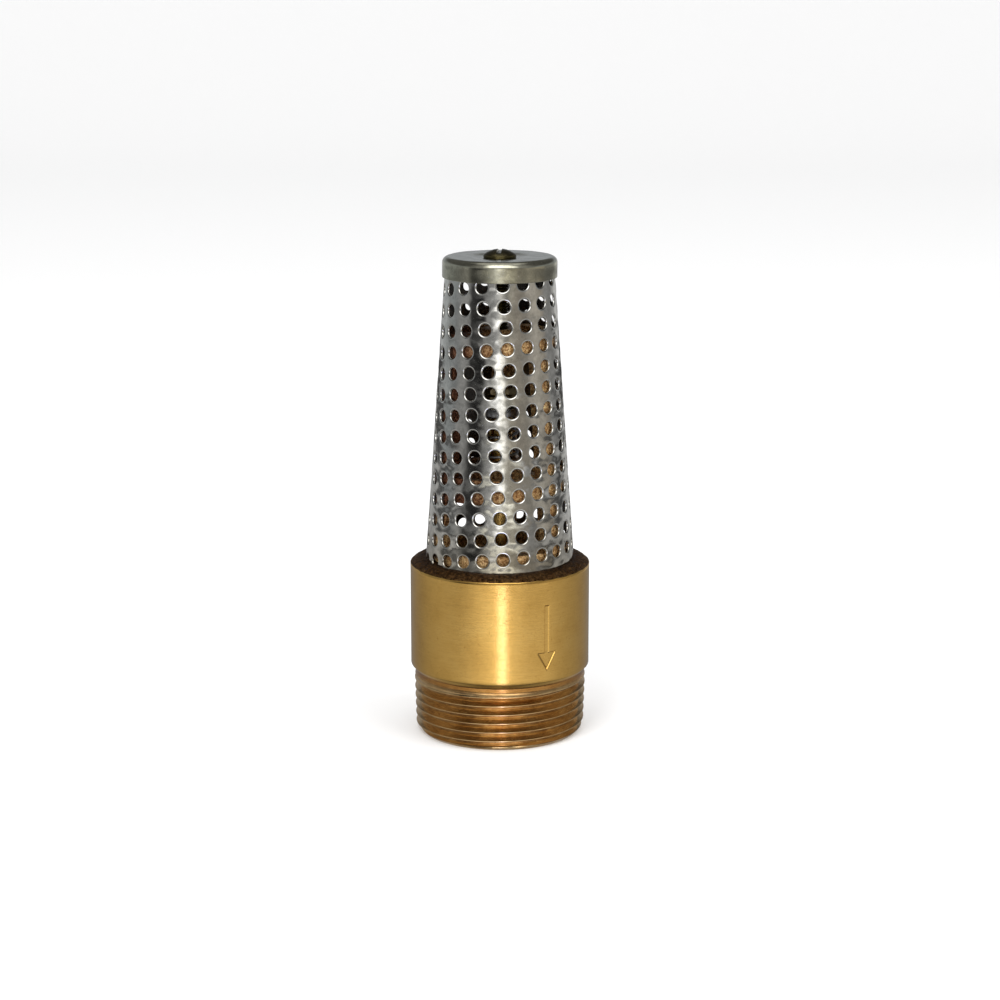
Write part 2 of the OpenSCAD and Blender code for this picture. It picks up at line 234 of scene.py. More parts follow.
def brass_thread(name):
    """Die-cut thread brass, torn and stained dull; painted shade makes the relief above the thread
    darker and redder, under the land.
    """
    material, tree, shader = new_material(name, (0.66, 0.45, 0.20), 1.0, 0.2)
    plain = coordinates(tree)
    rings = coordinates(tree, (0.1, 0.1, 1))
    tears = noise_at(tree, rings, 5.0, 4.0, 0.65)
    grain = noise_at(tree, plain, 2.4, 4.0, 0.6)
    stains = noise_at(tree, plain, 0.22, 3.0)
    base = ramp(tree, tears, [(0.3, (0.55, 0.355, 0.165)), (0.5, (0.70, 0.475, 0.23)),
                              (0.7, (0.83, 0.58, 0.29))])
    tint = ramp(tree, stains, [(0.35, (0.80, 0.72, 0.62)), (0.6, (1, 1, 1))])
    base = mix(tree, 0.7, base, tint, "MULTIPLY")
    parts = tree.nodes.new("ShaderNodeSeparateXYZ")
    tree.links.new(plain, parts.inputs["Vector"])
    # painted shade: from 14 mm up, on the relief under the land, the brass is darker and redder
    above = maths(tree, "ADD", parts.outputs["Z"], -14.0, True)
    base = mix(tree, above, base, mix(tree, 1.0, base, (0.77, 0.56, 0.32), "MULTIPLY"))
    tree.links.new(base, shader.inputs["Base Color"])
    tree.links.new(ramp(tree, grain, [(0.3, 0.26), (0.7, 0.13)]), shader.inputs["Roughness"])
    bump(tree, shader, tears, 0.2, 0.05)
    bump(tree, shader, grain, 0.12, 0.04)
    return material


def brass_cast(name, dark, light, roughness=0.55, metallic=1.0, left_shade=False, foot_shade=None):
    """Sand-cast brass: coarse bright grains between dark pits, with brown scale.
    With tarnish, the side towards -X carries a painted red-brown shade above the foot, where less
    light falls.
    With grime = (inner, outer), painted shade darkens it at the inner radius and fades out towards
    the outer, for the shade round the foot of the strainer."""
    material, tree, shader = new_material(name, dark, metallic, roughness)
    plain = coordinates(tree)
    grains = noise_at(tree, plain, 1.6, 6.0, 0.75)
    sand = noise_at(tree, plain, 3.8, 4.0, 0.7)
    scale = noise_at(tree, plain, 0.35, 4.0, 0.6)
    bright = [min(1, 1.5 * c) for c in light]
    base = ramp(tree, grains, [(0.36, [0.35 * c for c in dark]), (0.46, dark), (0.56, light),
                               (0.7, bright)])
    brown = ramp(tree, scale, [(0.35, (0.46, 0.34, 0.25)), (0.65, (1, 1, 1))])
    base = mix(tree, 0.8, base, brown, "MULTIPLY")
    # painted shade: the side towards -X, which gets less light, is darker and red-brown above the
    # foot
    if left_shade:
        parts = tree.nodes.new("ShaderNodeSeparateXYZ")
        tree.links.new(plain, parts.inputs["Vector"])
        side = maths(tree, "ADD", maths(tree, "MULTIPLY", parts.outputs["X"], -0.08), 0.32, True)
        height = maths(tree, "ADD", maths(tree, "MULTIPLY", parts.outputs["Z"], 0.1), -4.9, True)
        base = mix(tree, maths(tree, "MULTIPLY", side, height), base,
                   mix(tree, 1.0, base, (0.26, 0.17, 0.19), "MULTIPLY"))
    # painted shade: darker at the inner radius round the strainer foot, fading out by the outer
    # radius
    if foot_shade:
        flat = coordinates(tree, (1, 1, 0))
        length = tree.nodes.new("ShaderNodeVectorMath")
        length.operation = "LENGTH"
        tree.links.new(flat, length.inputs[0])
        slope = 1 / (foot_shade[1] - foot_shade[0])
        clear = maths(tree, "ADD", maths(tree, "MULTIPLY", length.outputs["Value"], slope),
                      -foot_shade[0] * slope, True)
        base = mix(tree, clear, mix(tree, 1.0, base, (0.5, 0.46, 0.4), "MULTIPLY"), base)
    tree.links.new(base, shader.inputs["Base Color"])
    tree.links.new(ramp(tree, sand, [(0.3, roughness + 0.18), (0.7, roughness - 0.14)]),
                   shader.inputs["Roughness"])
    bump(tree, shader, grains, 1.0, 0.28)
    bump(tree, shader, sand, 0.8, 0.12)
    return material


def steel(name, colour, roughness, grain=(1, 1, 0.05), wave=0.0, stains=0.12, foot=None):
    """Rolled or drawn stainless: grain along one way, faint marks and scratches.
    With foot = (low, high, tint) it is darker, multiplied by tint, at height low, and plain from
    high up."""
    material, tree, shader = new_material(name, colour, 1.0, roughness)
    plain = coordinates(tree)
    drawn = coordinates(tree, grain)
    lines = noise_at(tree, drawn, 8.0, 3.0, 0.6)
    marks = noise_at(tree, plain, 0.45, 5.0, 0.65)
    specks = noise_at(tree, plain, 3.0, 3.0, 0.6)
    low = [c * (1 - stains) for c in colour]
    high = [min(1, c * (1 + stains / 2)) for c in colour]
    base = ramp(tree, marks, [(0.3, low), (0.65, high)])
    pits = ramp(tree, specks, [(0.3, (0.72, 0.70, 0.66)), (0.4, (1, 1, 1))])
    base = mix(tree, 0.45, base, pits, "MULTIPLY")
    if foot:
        start, end, tint = foot
        parts = tree.nodes.new("ShaderNodeSeparateXYZ")
        tree.links.new(plain, parts.inputs["Vector"])
        slope = -1 / (end - start)
        darkened = maths(tree, "ADD", maths(tree, "MULTIPLY", parts.outputs["Z"], slope),
                       -end * slope, True)
        base = mix(tree, darkened, base, mix(tree, 1.0, base, tint, "MULTIPLY"))
    tree.links.new(base, shader.inputs["Base Color"])
    tree.links.new(ramp(tree, marks, [(0.3, roughness * 1.35), (0.7, roughness * 0.8)]),
                   shader.inputs["Roughness"])
    bump(tree, shader, lines, 0.12, 0.02)
    bump(tree, shader, specks, 0.06, 0.03)
    if wave:
        bump(tree, shader, noise_at(tree, plain, 0.16, 2.0, 0.4), wave, 1.0)
    return material


def rubber(name):
    """Black seal rubber with a little dust."""
    material, tree, shader = new_material(name, (0.035, 0.035, 0.038), 0.0, 0.6)
    plain = coordinates(tree)
    grain = noise_at(tree, plain, 2.5, 4.0, 0.6)
    dust = noise_at(tree, plain, 0.4, 4.0, 0.6)
    tree.links.new(ramp(tree, dust, [(0.35, (0.03, 0.03, 0.032)), (0.75, (0.075, 0.072, 0.068))]),
                   shader.inputs["Base Color"])
    tree.links.new(ramp(tree, dust, [(0.3, 0.5), (0.7, 0.72)]), shader.inputs["Roughness"])
    bump(tree, shader, grain, 0.25, 0.04)
    return material


MACHINED = brass_machined("brass_machined")
THREAD = brass_thread("brass_thread")
SHOULDER = brass_cast("brass_shoulder", (0.095, 0.05, 0.018), (0.25, 0.14, 0.056), 0.6,
                      foot_shade=(18.6, 21.2))
CAST = brass_cast("brass_cast", (0.46, 0.25, 0.09), (1, 0.68, 0.33), 0.32, 0.7, left_shade=True)
TURNED = steel("brass_turned", (0.78, 0.50, 0.16), 0.22, (0.05, 0.05, 1), stains=0.2)
# a darker copy of the turned brass, as painted shade for the nuts deep inside the strainer
NUT_BRASS_SHADED = steel("brass_nut_shaded", (0.26, 0.20, 0.10), 0.34, (0.1, 0.1, 1), stains=0.3)
DARK_BRASS = steel("brass_dark", (0.13, 0.11, 0.05), 0.2, (1, 1, 1), stains=0.45)
BRONZE = steel("bronze", (0.44, 0.25, 0.12), 0.42, (0.1, 0.1, 1), stains=0.25)
RUBBER = rubber("rubber_seal")
PLAIN_STEEL = steel("steel_plain", (0.50, 0.50, 0.49), 0.3, (0.1, 0.1, 1))
WIRE = steel("steel_wire", (0.45, 0.45, 0.45), 0.27, (0.3, 0.3, 1))
SHEET = steel("steel_sheet", (0.66, 0.65, 0.61), 0.08, (1, 1, 0.06), wave=0.3, stains=0.25,
              foot=(40, 56, (0.72, 0.67, 0.58)))
# the inner face of the sheet: the same steel made dark, as painted shade for the inside of the
# strainer
SHEET_INSIDE_SHADED = steel("steel_inside_shaded", (0.135, 0.125, 0.115), 0.28, stains=0.4)
CAP = steel("steel_cap", (0.51, 0.495, 0.39), 0.13, (0.06, 0.06, 1), wave=0.12, stains=0.3)


# ---------------------------------------------------------------- mesh makers

def add_piece(name, points, faces, body, nodes, materials, face_material=None, sharp=40):
    """A mesh piece from points in millimetres, smooth but for edges sharper than sharp degrees."""
    mesh = bpy.data.meshes.new(name)
    mesh.from_pydata([Vector(p) * MM for p in points], [], faces)
    piece = bpy.data.objects.new(name, mesh)
    bpy.context.scene.collection.objects.link(piece)
    for material in materials:
        mesh.materials.append(material)
    if face_material is not None:
        mesh.polygons.foreach_set("material_index", face_material)
    clean(mesh)
    mesh.shade_smooth()
    mesh.set_sharp_from_angle(angle=math.radians(sharp))
    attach(piece, body)
    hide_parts(*nodes)
    return piece


def clean(mesh):
    """Joins doubled points, drops loose points and faces without area, turns faces outwards."""
    work = bmesh.new()
    work.from_mesh(mesh)
    bmesh.ops.remove_doubles(work, verts=work.verts, dist=1e-7)
    bmesh.ops.dissolve_degenerate(work, edges=work.edges, dist=1e-7)
    loose = [v for v in work.verts if not v.link_faces]
    bmesh.ops.delete(work, geom=loose, context="VERTS")
    bmesh.ops.recalc_face_normals(work, faces=work.faces)
    work.to_mesh(mesh)
    work.free()


def around(azimuth, r, z):
    """Point at an azimuth in degrees, a radius and a height, as the CAD has them."""
    a = math.radians(azimuth)
    return (r * math.sin(a), -r * math.cos(a), z)


def rounded(profile, radius, steps=4):
    """A closed outline of (r, z) corners with each corner turned into a small arc."""
    out = []
    n = len(profile)
    for i in range(n):
        before, at, after = (Vector(profile[k % n]) for k in (i - 1, i, i + 1))
        if at.x < 1e-6:
            out.append(tuple(at))
            continue
        reach = min(radius, (before - at).length * 0.45, (after - at).length * 0.45)
        start = at + (before - at).normalized() * reach
        end = at + (after - at).normalized() * reach
        for k in range(steps + 1):
            t = k / steps
            out.append(tuple(start * (1 - t) ** 2 + at * 2 * t * (1 - t) + end * t * t))
    return out


def lathe(profile, columns=128):
    """Points and faces of a closed (r, z) outline turned round the axis."""
    n = len(profile)
    points = [around(360 * i / columns, r, z) for i in range(columns) for r, z in profile]
    faces = []
    for i in range(columns):
        for j in range(n):
            a, b = i * n + j, i * n + (j + 1) % n
            c, d = ((i + 1) % columns) * n + (j + 1) % n, ((i + 1) % columns) * n + j
            faces.append((a, b, c, d))
    return points, faces


def column_grid(azimuths, outline_at):
    """Points and faces of a closed (r, z) outline that may differ at each azimuth.
    The azimuths run from 0 to 360, and clean() joins the first column to the last."""
    columns = [outline_at(azimuth) for azimuth in azimuths]
    n = len(columns[0])
    points = [around(azimuth, r, z)
              for azimuth, column in zip(azimuths, columns) for r, z in column]
    faces = []
    for i in range(len(columns) - 1):
        for j in range(n):
            k = (j + 1) % n
            faces.append((i * n + j, i * n + k, (i + 1) * n + k, (i + 1) * n + j))
    return points, faces, n


def even_azimuths(count):
    """Azimuths from 0 to 360 that cut the circle into count parts."""
    return [360 * i / count for i in range(count + 1)]


def helix_rows(azimuth, low, high, pitch, depth, crest_r, start):
    """The thread's outline at one azimuth from low to high, with the helix rising to the right."""
    shares = [(0, 0), (0.04, 0), (0.08, 0), (0.18, 0.24), (0.29, 0.5), (0.4, 0.76), (0.49, 0.96),
              (0.54, 1), (0.59, 0.96), (0.68, 0.76), (0.79, 0.5), (0.9, 0.24)]
    turns = math.ceil((high - start) / pitch) + 1
    fractions = [s for s, _ in shares] + [1]
    depths = [d for _, d in shares] + [0]
    rows = []
    for turn in range(turns):
        for share, _ in shares:
            z = start + (turn + share + azimuth / 360) * pitch
            z = min(max(z, low), high)
            phase = ((z - start) / pitch - azimuth / 360) % 1
            rows.append((crest_r(z) - depth(z) * float(np.interp(phase, fractions, depths)), z))
    return rows


def cast_noise(point, size, octaves=3):
    """Smooth noise between about -1 and 1, with grains of about size millimetres."""
    return noise.fractal(Vector(point) / size, 0.6, 2.0, octaves)


# ---------------------------------------------------------------- body

def arrow_distance(u, z):
    """Signed distance from the flow arrow's outline, negative inside, in millimetres."""
    base = ARROW_TIP + ARROW_HEAD_H
    slope = (ARROW_HEAD_W / 2) / ARROW_HEAD_H
    side = (abs(u) - (z - ARROW_TIP) * slope) / math.hypot(1, slope)
    head = max(side, z - base)
    shaft = max(abs(u) - ARROW_SHAFT_W / 2, base - 0.2 - z, z - ARROW_TAIL)
    return min(head, shaft)


def smoothstep(low, high, value):
    """Smooth rise from 0 at low to 1 at high."""
    t = min(max((value - low) / (high - low), 0), 1)
    return t * t * (3 - 2 * t)


def body_thread_rows(azimuth):
    """The pipe thread, running out above into the plain relief under the land."""
    def crest(z):
        taper_r = THREAD_END_R + z / THREAD_TAPER / 2
        return min(taper_r, CREST_TOP_R - (CREST_TOP_R - RELIEF_R) * smoothstep(*CREST_FALL, z))

    def depth(z):
        return THREAD_DEPTH * (1 - smoothstep(*GROOVE_FADE, z))

    rows = helix_rows(azimuth, 0, RELIEF_TOP, THREAD_PITCH, depth, crest, THREAD_START)
    chamfer_r = THREAD_END_R - THREAD_CHAMFER
    return [(min(r, chamfer_r + z), z) for r, z in rows]


def land_rows(azimuth):
    """The land from its lower chamfer to its upper edge, with the arrow cut into it."""
    fine = np.arange(ARROW_TIP - 0.4, ARROW_TAIL + 0.4, 0.16)
    heights = [LAND_BOTTOM + 0.12, 18.4, *fine, 38, 40, 41.6]
    rows = [(RELIEF_R + 0.12, LAND_BOTTOM - LAND_CHAMFER + 0.08),
            (LAND_R - 0.08, LAND_BOTTOM - 0.1)]
    u_from_arrow = math.radians((azimuth - ARROW_AZ + 180) % 360 - 180) * LAND_R
    for z in heights:
        cut = ARROW_DEPTH * (1 - smoothstep(-0.22, 0.06, arrow_distance(u_from_arrow, z)))
        rows.append((LAND_R - cut, z))
    top = LAND_TOP + 0.12 * cast_noise(around(azimuth, LAND_R, 0), 2.5)
    return rows + [(LAND_R, top - 0.1), (LAND_R - 0.06, top)]


def shoulder_rows(azimuth):
    """The as-cast shoulder, from the land's edge in to the flat under the strainer."""
    flat_r = SCREEN_BASE_R + 0.3
    top_edge = LAND_TOP + 0.12 * cast_noise(around(azimuth, LAND_R, 0), 2.5)
    rows = []
    steps = 13
    for k in range(1, steps + 1):
        t = k / steps
        r = LAND_R - 0.06 + (flat_r - LAND_R + 0.06) * t
        z = top_edge + (SHOULDER_TOP - top_edge) * math.sin(t * math.pi / 2) ** 0.8
        fade = smoothstep(0, 0.15, t) * (1 - smoothstep(0.85, 1, t))
        rows.append((r, z + 0.11 * fade * cast_noise(around(azimuth, r, z), 0.9)))
    return rows


def valve_body():
    """One closed outline from the thread over the land and down the passage, turned round.
    Its columns are closer together across the arrow."""
    half_arrow = 9
    dense = np.arange(ARROW_AZ - half_arrow, ARROW_AZ + half_arrow, 0.36)
    sparse = [a for a in even_azimuths(288) if abs(a - ARROW_AZ) > half_arrow + 0.2]
    azimuths = sorted([*sparse, *(float(a) for a in dense)])
    passage = rounded([(MOUTH_R, SHOULDER_TOP), (MOUTH_R, MOUTH_BOTTOM),
                       (FOOT_BORE_R, MOUTH_BOTTOM), (SEAT_R, WEB_TOP), (SEAT_R, SEAT_FACE),
                       (SEAT_R + SEAT_LIP, SEAT_FACE), (SEAT_R + SEAT_LIP + 0.4, WEB_BOTTOM),
                       (CHAMBER_R - 1, WEB_BOTTOM), (CHAMBER_R, WEB_BOTTOM - 1),
                       (CHAMBER_R, CHAMBER_BOTTOM), (OUTLET_R, OUTLET_TOP),
                       (OUTLET_R, 0.5), (OUTLET_R + 0.5, 0)], 0.25, 3)
    outside = (body_thread_rows, land_rows, shoulder_rows)

    def outline(azimuth):
        return [row for rows_at in outside for row in rows_at(azimuth)] + passage

    points, faces, n = column_grid(azimuths, outline)
    thread, land, shoulder = (len(rows_at(0)) for rows_at in outside)
    machined, threaded, rough, cast = range(4)
    end_face = 8
    column = [threaded] * thread + [machined] * (land - 1) + [rough] * (shoulder + 1)
    column += [cast] * (n - end_face - len(column)) + [machined] * end_face
    return add_piece("body_casting", points, faces, "housing", ["valve_body"],
                     [MACHINED, THREAD, SHOULDER, CAST], column * (len(azimuths) - 1))


# ---------------------------------------------------------------- strainer

SCREEN_APEX = SHOULDER_TOP + SCREEN_BASE_R / math.tan(SCREEN_ANGLE)
SHEET_REACH = (SCREEN_APEX - SHOULDER_TOP) / math.cos(SCREEN_ANGLE)
SHEET_TOP_REACH = (SCREEN_APEX - SCREEN_TOP) / math.cos(SCREEN_ANGLE)
SHEET_HALF = math.pi * math.sin(SCREEN_ANGLE)


def roll(x, y, offset):
    """Place on the rolled sheet of a flat point, at a height offset off its outer face."""
    reach = math.hypot(x, y)
    turned = math.degrees(math.atan2(x, y) / math.sin(SCREEN_ANGLE))
    r = reach * math.sin(SCREEN_ANGLE) + offset * math.cos(SCREEN_ANGLE)
    z = SCREEN_APEX - reach * math.cos(SCREEN_ANGLE) + offset * math.sin(SCREEN_ANGLE)
    return Vector(around(SEAM_AZ + 180 + turned, r, z))


def sheet_holes():
    """Centres of the punched holes on the flat sheet, kept clear of the lap."""
    rows = math.ceil((SHEET_REACH - SHEET_TOP_REACH) / HOLE_PITCH) + 1
    columns = math.ceil(math.pi * SCREEN_BASE_R / HOLE_PITCH)
    margin = SEAM_LAP / 2 + HOLE_R + 0.4
    found = []
    for row in range(rows + 1):
        for column in range(-columns, columns + 1):
            x = HOLE_SHIFT + column * HOLE_PITCH
            y = SHEET_REACH - HOLE_EDGE - row * HOLE_PITCH
            reach = math.hypot(x, y)
            from_seam = reach * (SHEET_HALF - abs(math.atan2(x, y)))
            if SHEET_TOP_REACH - HOLE_R < reach < SHEET_REACH + HOLE_R and from_seam > margin:
                found.append((x, y))
    return found


def strainer_screen():
    """The sheet is meshed flat, with a ring of points round each hole, then rolled."""
    sides = 28
    lap = SEAM_LAP / 2
    rim = [(HOLE_R, -0.30), (HOLE_R + 0.05, -0.18), (HOLE_R + 0.13, -0.09),
           (HOLE_R + 0.24, -0.03), (HOLE_R + 0.36, 0.0), (HOLE_R + 0.46, 0.0)]
    holes = sheet_holes()
    points, edges = [], []

    def loop(ring):
        first = len(points)
        points.extend(Vector(p) for p in ring)
        last = len(points)
        edges.extend((k, k + 1) for k in range(first, last - 1))
        edges.append((last - 1, first))

    def polar(reach, angle):
        return (reach * math.sin(angle), reach * math.cos(angle))

    def half(reach):
        under_cap = reach < (SCREEN_APEX - LAP_TOP) / math.cos(SCREEN_ANGLE)
        return SHEET_HALF + (-0.02 if under_cap else lap) / reach

    def side(sign, r0, r1, count):
        reaches = [r0 + (r1 - r0) * k / count for k in range(count)]
        return [polar(reach, sign * half(reach)) for reach in reaches]

    arc = 120
    half_low = half(SHEET_REACH)
    half_high = half(SHEET_TOP_REACH)
    bottom = [polar(SHEET_REACH, -half_low + 2 * half_low * k / arc) for k in range(arc)]
    top = [polar(SHEET_TOP_REACH, half_high - 2 * half_high * k / arc) for k in range(arc)]
    outline = (bottom + side(1, SHEET_REACH, SHEET_TOP_REACH, 60) + top
               + side(-1, SHEET_TOP_REACH, SHEET_REACH, 60))
    loop(outline)
    for x, y in holes:
        for r, _ in rim:
            loop([(x + r * math.cos(TAU * k / sides), y + r * math.sin(TAU * k / sides))
                  for k in range(sides)])
    for x, y in holes:
        for dx in (-1, 1):
            points.append(Vector((x + dx * HOLE_PITCH / 2, y + HOLE_PITCH / 2)))
            points.append(Vector((x + dx * HOLE_PITCH / 2, y)))
        points.append(Vector((x, y + HOLE_PITCH / 2)))
    for k in range(140):
        reach = SHEET_REACH - 0.5 * k
        for sign in (-1, 1):
            for inset in (-1.6, 0.2, 2.0, 3.6):
                points.append(Vector(polar(reach, sign * (SHEET_HALF - inset / reach))))
    made = delaunay_2d_cdt(points, edges, [], 0, 1e-4)
    flat = np.array([tuple(v) for v in made[0]])
    faces = np.array(made[2])
    centre = flat[faces].mean(axis=1)
    hole_at = np.array(holes)

    def from_hole(places):
        away = places[:, None, :] - hole_at[None, :, :]
        return np.sqrt((away ** 2).sum(axis=2)).min(axis=1)

    keep = inside_outline(centre, np.array(outline)) & (from_hole(centre) > HOLE_R)
    faces = faces[keep]
    raised = np.interp(from_hole(flat), [r for r, _ in rim], [h for _, h in rim])
    lift = [sheet_lift(x, y) for x, y in flat]
    outer = [roll(x, y, h + w) for (x, y), h, w in zip(flat, raised, lift)]
    inner = [roll(x, y, w - SCREEN_T) for (x, y), w in zip(flat, lift)]
    n = len(outer)
    closed = [tuple(f) for f in faces] + [tuple(n + k for k in reversed(f)) for f in faces]
    used = dict.fromkeys(edge for a, b, c in faces for edge in ((a, b), (b, c), (c, a)))
    walls = [(b, a, n + a, n + b) for a, b in used if (b, a) not in used]
    sides_of = [0] * len(faces) + [1] * len(faces) + [0] * len(walls)
    return add_piece("strainer_sheet", outer + inner, closed + walls, "housing",
                     ["strainer_screen"], [SHEET, SHEET_INSIDE_SHADED], sides_of, 60)


def inside_outline(places, outline):
    """Which places lie inside a closed outline."""
    inside = np.zeros(len(places), bool)
    x, y = places.T
    for (x0, y0), (x1, y1) in zip(outline, np.roll(outline, -1, axis=0)):
        if y0 != y1:
            crosses = (y0 > y) != (y1 > y)
            inside ^= crosses & (x < (x1 - x0) * (y - y0) / (y1 - y0) + x0)
    return inside


def sheet_lift(x, y):
    """How far the sheet stands off its cone: slight waves, the lap's step and its spot welds."""
    reach = math.hypot(x, y)
    across = reach * math.atan2(x, y)
    z = SCREEN_APEX - reach * math.cos(SCREEN_ANGLE)
    edge = reach * SHEET_HALF - SEAM_LAP / 2
    below_cap = 1 - smoothstep(LAP_TOP - 1.5, LAP_TOP, z)
    lift = SCREEN_T * 1.04 * smoothstep(edge - 1.4, edge - 0.1, across) * below_cap
    lift += 0.035 * noise.noise(Vector((x / 7, y / 9, 3.1)))
    lift += 0.02 * noise.noise(Vector((x / 2.5, y / 2.5, 8.3)))
    for k in range(6):
        off = math.hypot(reach * SHEET_HALF - abs(across) - 0.2, z - 50 - 12 * k)
        if off < 2:
            lift -= 0.12 * (1 - smoothstep(0.6, 1.5, off))
    return lift


# ---------------------------------------------------------------- cage

def guide_cage():
    """The cage's CAD shape remeshed finely, softened and given a sand-cast skin."""
    name = "cage_casting"
    draft = bpy.data.objects.new(name + "_draft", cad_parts["guide_cage"].data.copy())
    bpy.context.scene.collection.objects.link(draft)
    grid = draft.modifiers.new("grid", "REMESH")
    grid.mode = "VOXEL"
    grid.voxel_size = 0.3 * MM
    soften = draft.modifiers.new("soften", "SMOOTH")
    soften.factor = 0.5
    soften.iterations = 5
    made = draft.evaluated_get(bpy.context.evaluated_depsgraph_get()).data
    work = bmesh.new()
    work.from_mesh(made)
    work.normal_update()
    points = []
    for vertex in work.verts:
        at = vertex.co / MM
        r = math.hypot(at.x, at.y)
        machined = (r < FOOT_BORE_R + 0.3 and at.z < 48 or at.z < SHOULDER_TOP + 0.2
                    or r < HUB_BORE_R)
        skin = 0.07 * cast_noise(at, 1.1) + 0.09 * cast_noise(at, 4.0, 1) - 0.05
        points.append(at + vertex.normal * (0 if machined else skin))
    faces = [[v.index for v in face.verts] for face in work.faces]
    work.free()
    bpy.data.objects.remove(draft)
    return add_piece(name, points, faces, "housing", ["guide_cage"], [CAST], sharp=75)


# ---------------------------------------------------------------- cap and its screw

def strainer_cap():
    """A drawn cap with a rounded edge, dished by its screw and slightly dented."""
    low, high = size("strainer_cap")
    r, top, bottom = high.x, high.z, low.z
    t = CAP_T
    bore = 2.15
    head_r = size("cap_screw")[1].x

    def dish(rr):
        return -CAP_DISH * (1 - smoothstep(head_r + 0.2, head_r + 4, rr))

    def outline(azimuth):
        rows = []
        for k in range(9):
            z = bottom + 0.12 + (top - CAP_EDGE - bottom - 0.12) * k / 8
            rows.append((r, z))
        rows += [(r - CAP_EDGE * (1 - math.cos(a)), top - CAP_EDGE * (1 - math.sin(a)))
                 for a in np.linspace(0.15, math.pi / 2, 9)]
        rows += [(rr, top + dish(rr)) for rr in np.linspace(r - CAP_EDGE - 0.4, bore, 15)]
        rows += [(rr, top - t + dish(rr)) for rr in np.linspace(bore, r - CAP_EDGE - 0.4, 9)]
        inner = r - t
        bend = CAP_EDGE - t
        rows += [(inner - bend * (1 - math.sin(a)), top - t - bend * (1 - math.cos(a)))
                 for a in np.linspace(0, math.pi / 2, 6)]
        rows += [(inner, bottom), (r - 0.12, bottom)]
        out = []
        for rr, z in rows:
            at = Vector(around(azimuth, rr, z))
            dent = 0.05 * noise.noise(at / 5 + Vector((2.2, 0, 0))) - 0.03
            free = smoothstep(4.2, 6, rr)
            out.append((rr + dent * free * smoothstep(10, 13, rr),
                        z + dent * free * smoothstep(top - 2, top, z)))
        return out

    points, faces, _ = column_grid(even_azimuths(180), outline)
    return add_piece("cap_shell", points, faces, "housing", ["strainer_cap"], [CAP])


def cap_screw():
    """A domed slotted head cut by a boolean, over a threaded shank."""
    low, high = size("cap_screw")
    head_r = high.x
    bottom, top = size("strainer_cap")[1].z - CAP_DISH, high.z
    rim = 0.7
    dome_r = (head_r ** 2 + (top - bottom - rim) ** 2) / 2 / (top - bottom - rim)
    profile = [(0, bottom), (head_r - 0.1, bottom), (head_r, bottom + 0.1),
               (head_r, bottom + rim - 0.06)]
    for k in range(1, 15):
        rr = head_r * math.cos(math.pi / 2 * k / 15)
        profile.append((rr, top - dome_r + math.sqrt(dome_r ** 2 - rr ** 2)))
    profile.append((0, top))
    points, faces = lathe(profile, 96)
    head = draft_object("head_draft", points, faces)
    a = math.radians(-6)
    across, depth = 1.1 / 2, 0.9
    corners = [(x, y, z) for z in (top - depth, top + 1) for x, y in
               ((-across, -5), (across, -5), (across, 5), (-across, 5))]
    corners = [(x * math.cos(a) - y * math.sin(a), x * math.sin(a) + y * math.cos(a), z)
               for x, y, z in corners]
    cutter = draft_object("slot_draft", corners, [(0, 3, 2, 1), (4, 5, 6, 7), (0, 1, 5, 4),
                                                  (1, 2, 6, 5), (2, 3, 7, 6), (3, 0, 4, 7)])
    cut = head.modifiers.new("cut", "BOOLEAN")
    cut.operation = "DIFFERENCE"
    cut.object = cutter
    cut.solver = "EXACT"
    edge = head.modifiers.new("edge", "BEVEL")
    edge.width = 0.09 * MM
    edge.segments = 3
    edge.limit_method = "ANGLE"
    edge.angle_limit = math.radians(40)
    points, faces = evaluated(head)
    bpy.data.objects.remove(head)
    bpy.data.objects.remove(cutter)
    points = [at + Vector((0, 0, 0.03 * cast_noise(at, 0.9, 2) - 0.02))
              * smoothstep(bottom + 0.3, top, at.z) for at in points]
    thread_points, thread_faces = stud(2.0, low.z, bottom + 0.05, 0.7, 0.38, 0.5)
    faces = faces + [[k + len(points) for k in f] for f in thread_faces]
    return add_piece("screw_slotted", points + thread_points, faces, "housing", ["cap_screw"],
                     [DARK_BRASS])


def draft_object(name, points, faces):
    """A scratch object that a modifier works on."""
    mesh = bpy.data.meshes.new(name)
    mesh.from_pydata([Vector(p) * MM for p in points], [], faces)
    clean(mesh)
    piece = bpy.data.objects.new(name, mesh)
    bpy.context.scene.collection.objects.link(piece)
    return piece


def evaluated(piece):
    """Points in millimetres and faces of an object with its modifiers applied."""
    bpy.context.view_layer.update()
    made = piece.evaluated_get(bpy.context.evaluated_depsgraph_get()).data
    return [v.co / MM for v in made.vertices], [list(f.vertices) for f in made.polygons]


def stud(r, low, high, pitch, depth, chamfer):
    """Points and faces of a threaded stud, closed on the axis at both ends."""
    def outline(azimuth):
        rows = helix_rows(azimuth, low, high, pitch, lambda z: depth, lambda z: r, low - 2 * pitch)
        rows = [(min(rr, r - chamfer + (z - low), r - chamfer + (high - z)), z) for rr, z in rows]
        return [(0, low), *rows, (0, high)]

    points, faces, _ = column_grid(even_azimuths(48), outline)
    return points, faces


# ---------------------------------------------------------------- poppet

STUD_R = 2.45
STUD_THREAD = (0.8, 0.43, 0.5)      # pitch, depth and end chamfer


def joined(*parts):
    """Several closed shells as one list of points and faces."""
    points, faces = [], []
    for more_points, more_faces in parts:
        faces += [[k + len(points) for k in f] for f in more_faces]
        points += more_points
    return points, faces


def turned_piece(name, node, body, material, profile, radius):
    """A ring turned from a profile whose corners are rounded."""
    points, faces = lathe(rounded(profile, radius), 96)
    return add_piece(name, points, faces, body, [node], [material])


